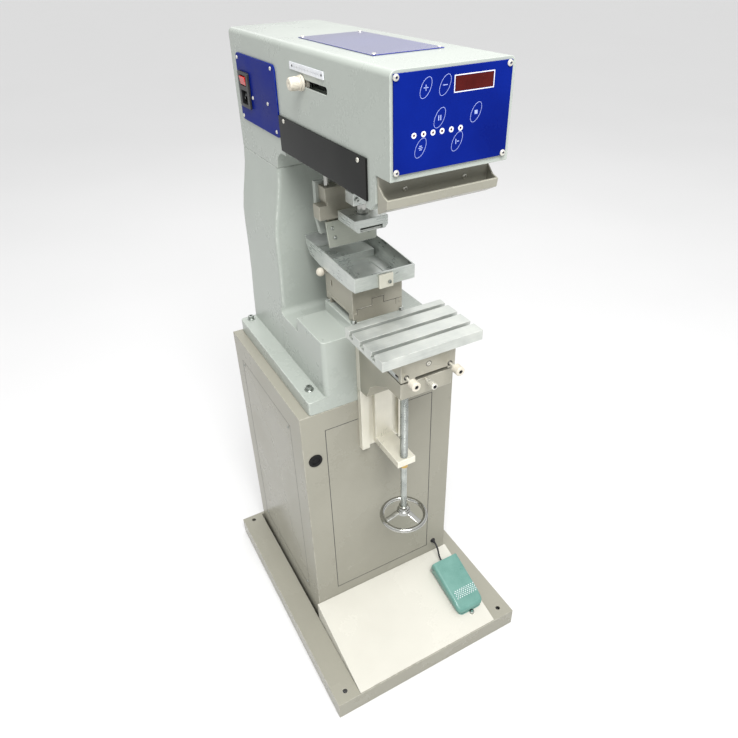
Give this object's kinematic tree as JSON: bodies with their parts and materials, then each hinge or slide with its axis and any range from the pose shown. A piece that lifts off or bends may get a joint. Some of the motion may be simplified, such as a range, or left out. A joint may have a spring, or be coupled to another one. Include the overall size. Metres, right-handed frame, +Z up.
{
  "type": "pad printing machine",
  "caption": "Floor-standing pad printing machine with an open ink tray, a T-slot table on a screw-lifted knee and a foot pedal.",
  "frame": {"origin": "bottom centre of the floor frame, on the floor", "axes": "+Z up, -Y towards the operator's side, +X to the operator's right"},
  "size_m": [0.48, 0.622, 1.3033],
  "materials": {
    "grey_enamel": "glossy silver-grey enamel",
    "pale_enamel": "satin off-white enamel",
    "blue_panel": "semi-gloss blue",
    "smoked_acrylic": "glossy black smoked acrylic",
    "red_display": "glossy dark red filter",
    "black_plastic": "moulded black",
    "red_plastic": "glossy red",
    "white_plastic": "off-white, knurled",
    "machined_aluminium": "fine milled",
    "ground_steel": "ground",
    "zinc_steel": "blue zinc plating",
    "chrome": "polished",
    "brass": "turned",
    "teal_enamel": "teal hammered enamel",
    "black_rubber": "matt black"
  },
  "bodies": {
    "frame": {"base_frame": "pale_enamel", "foot_plate": "pale_enamel", "cabinet_body": "grey_enamel", "front_panel": "grey_enamel", "side_panel_left": "grey_enamel", "side_panel_right": "grey_enamel", "cable_bush": "black_plastic", "cord_gland": "black_rubber", "machine_frame": "grey_enamel", "flange_bolt_front_left": "zinc_steel", "flange_bolt_front_right": "zinc_steel", "flange_bolt_rear_left": "zinc_steel", "flange_bolt_rear_right": "zinc_steel", "head_hood": "grey_enamel", "control_panel": "blue_panel", "display_window": "red_display", "top_plate": "blue_panel", "inlet_panel": "blue_panel", "power_inlet": "black_plastic", "side_window": "smoked_acrylic", "scale_plate": "machined_aluminium", "parts_tray": "grey_enamel", "guide_rod_left": "chrome", "guide_rod_right": "chrome", "travel_cylinder": "ground_steel", "knee_guide": "machined_aluminium", "slide_base": "machined_aluminium", "pedal_base": "teal_enamel", "pedal_pin": "ground_steel", "pedal_cord": "black_rubber"},
    "rocker": {"rocker_switch": "red_plastic"},
    "stroke_stop": {"stroke_slider": "white_plastic"},
    "stroke_grip": {"stroke_knob": "white_plastic"},
    "head_carriage": {"carriage": "machined_aluminium", "pad_cylinder": "machined_aluminium", "blade_bracket": "grey_enamel", "blade_rod_left": "chrome", "blade_rod_right": "chrome"},
    "ram": {"pad_ram": "chrome", "ram_clamp": "machined_aluminium", "pad_block": "machined_aluminium"},
    "blade": {"blade_carrier": "machined_aluminium", "blade_plate": "ground_steel", "doctor_blade": "ground_steel"},
    "tray": {"tray_slide": "machined_aluminium", "ink_tray": "machined_aluminium", "tray_clamp": "machined_aluminium"},
    "ball": {"ball_knob": "white_plastic"},
    "knee_body": {"knee": "machined_aluminium", "knee_nut": "brass"},
    "screw": {"lead_screw": "zinc_steel", "screw_collar": "brass", "handwheel": "chrome"},
    "cross": {"cross_slide": "ground_steel"},
    "table": {"table_slide": "machined_aluminium", "t_slot_table": "machined_aluminium"},
    "thumb_left": {"thumbscrew_left": "white_plastic"},
    "thumb_right": {"thumbscrew_right": "white_plastic"},
    "lock": {"lock_screw": "zinc_steel"},
    "treadle": {"pedal_treadle": "teal_enamel"}
  },
  "joints": [
    {"name": "rocker_turn", "type": "hinge", "parent": "frame", "child": "rocker", "pos_m": [-0.0961, 0.225, 1.218], "axis": [0, 1, 0], "range_deg": [0, 14]},
    {"name": "stroke_slide", "type": "slide", "parent": "frame", "child": "stroke_stop", "axis": [0, 1, 0], "range_m": [-0.072, 0.023]},
    {"name": "stroke_turn", "type": "hinge", "parent": "stroke_stop", "child": "stroke_grip", "pos_m": [-0.0949, -0.038, 1.2502], "axis": [-1, 0, 0], "range_deg": [0, 360]},
    {"name": "carriage_slide", "type": "slide", "parent": "frame", "child": "head_carriage", "axis": [0, -1, 0], "range_m": [0, 0.105]},
    {"name": "ram_slide", "type": "slide", "parent": "head_carriage", "child": "ram", "axis": [0, 0, -1], "range_m": [0, 0.055]},
    {"name": "blade_slide", "type": "slide", "parent": "head_carriage", "child": "blade", "axis": [0, 0, -1], "range_m": [0, 0.018]},
    {"name": "tray_slide_y", "type": "slide", "parent": "frame", "child": "tray", "axis": [0, 1, 0], "range_m": [-0.01, 0.003]},
    {"name": "ball_turn", "type": "hinge", "parent": "tray", "child": "ball", "pos_m": [-0.064, 0.018, 0.9062], "axis": [-1, 0, 0], "range_deg": [0, 360]},
    {"name": "knee_slide", "type": "slide", "parent": "frame", "child": "knee_body", "axis": [0, 0, 1], "range_m": [-0.032, 0.034]},
    {"name": "screw_turn", "type": "hinge", "parent": "frame", "child": "screw", "pos_m": [0, -0.184, 0.5668], "axis": [0, 0, 1], "range_deg": [-3070, 2890]},
    {"name": "cross_slide_y", "type": "slide", "parent": "knee_body", "child": "cross", "axis": [0, 1, 0], "range_m": [-0.012, 0.012]},
    {"name": "table_slide_x", "type": "slide", "parent": "cross", "child": "table", "axis": [1, 0, 0], "range_m": [-0.025, 0.025]},
    {"name": "thumb_left_turn", "type": "hinge", "parent": "table", "child": "thumb_left", "pos_m": [-0.0438, -0.262, 0.8208], "axis": [0, -1, 0], "range_deg": [0, 360]},
    {"name": "thumb_right_turn", "type": "hinge", "parent": "table", "child": "thumb_right", "pos_m": [0.0438, -0.262, 0.8208], "axis": [0, -1, 0], "range_deg": [0, 360]},
    {"name": "lock_turn", "type": "hinge", "parent": "knee_body", "child": "lock", "pos_m": [0, -0.257, 0.799], "axis": [0, -1, 0], "range_deg": [0, 360]},
    {"name": "treadle_press", "type": "hinge", "parent": "frame", "child": "treadle", "pos_m": [0.145, -0.14905, 0.10822], "axis": [1, 0, 0], "range_deg": [0, 2.4], "stiffness_Nm_per_rad": 20, "springref_deg": -5}
  ],
  "couplings": [
    {"joint": "screw_turn", "follows": "knee_slide", "rad_per_m": -1570.8}
  ]
}
